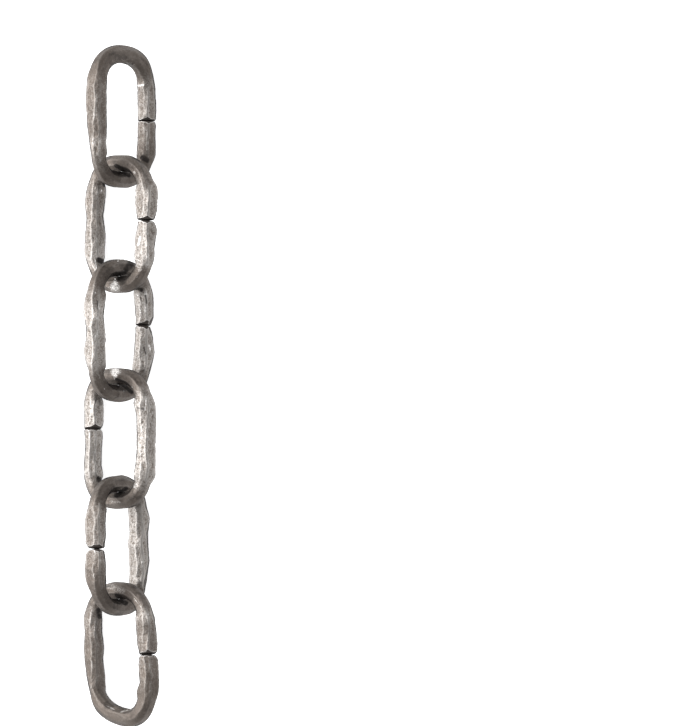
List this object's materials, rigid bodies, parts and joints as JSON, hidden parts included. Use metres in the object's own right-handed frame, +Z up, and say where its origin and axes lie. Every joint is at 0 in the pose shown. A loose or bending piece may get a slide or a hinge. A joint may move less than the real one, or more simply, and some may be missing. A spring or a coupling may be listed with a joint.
{
  "type": "hammered iron chain",
  "caption": "Straight length of open-link chain: long rings of hammered square iron bar with butted ends, each hooked through the next and leaning to either side in turn.",
  "frame": {"origin": "on the floor under the middle of the chain's bounding box", "axes": "+Y along the chain towards link_1's free end, +X to the right of the chain as seen from above, +Z up from the floor that it lies on"},
  "size_m": [0.0332, 0.3048, 0.0314],
  "materials": {
    "hammered_iron": "hand-hammered wrought iron, dark brown-grey in the bends and hollows, rubbed bright and speckled with dark pits on the raised flats, clear-waxed semi-matt sheen"
  },
  "bodies": {
    "link_3": {"link_3": "hammered_iron"},
    "link_2": {"link_2": "hammered_iron"},
    "link_1": {"link_1": "hammered_iron"},
    "link_4": {"link_4": "hammered_iron"},
    "link_5": {"link_5": "hammered_iron"},
    "link_6": {"link_6": "hammered_iron"}
  },
  "joints": [
    {"name": "swing_2_3", "type": "hinge", "parent": "link_3", "child": "link_2", "pos_m": [-0.0003, 0.0492, 0.0155], "axis": [0, 0, -1], "range_deg": [-25, 25]},
    {"name": "swing_1_2", "type": "hinge", "parent": "link_2", "child": "link_1", "pos_m": [0.0005, 0.0964, 0.0155], "axis": [0, 0, -1], "range_deg": [-25, 25]},
    {"name": "swing_3_4", "type": "hinge", "parent": "link_3", "child": "link_4", "pos_m": [-0.0008, 0.0002, 0.0155], "axis": [0, 0, 1], "range_deg": [-25, 25]},
    {"name": "swing_4_5", "type": "hinge", "parent": "link_4", "child": "link_5", "pos_m": [-0.001, -0.048, 0.0155], "axis": [0, 0, 1], "range_deg": [-25, 25]},
    {"name": "swing_5_6", "type": "hinge", "parent": "link_5", "child": "link_6", "pos_m": [-0.0006, -0.0961, 0.0155], "axis": [0, 0, 1], "range_deg": [-25, 25]}
  ]
}
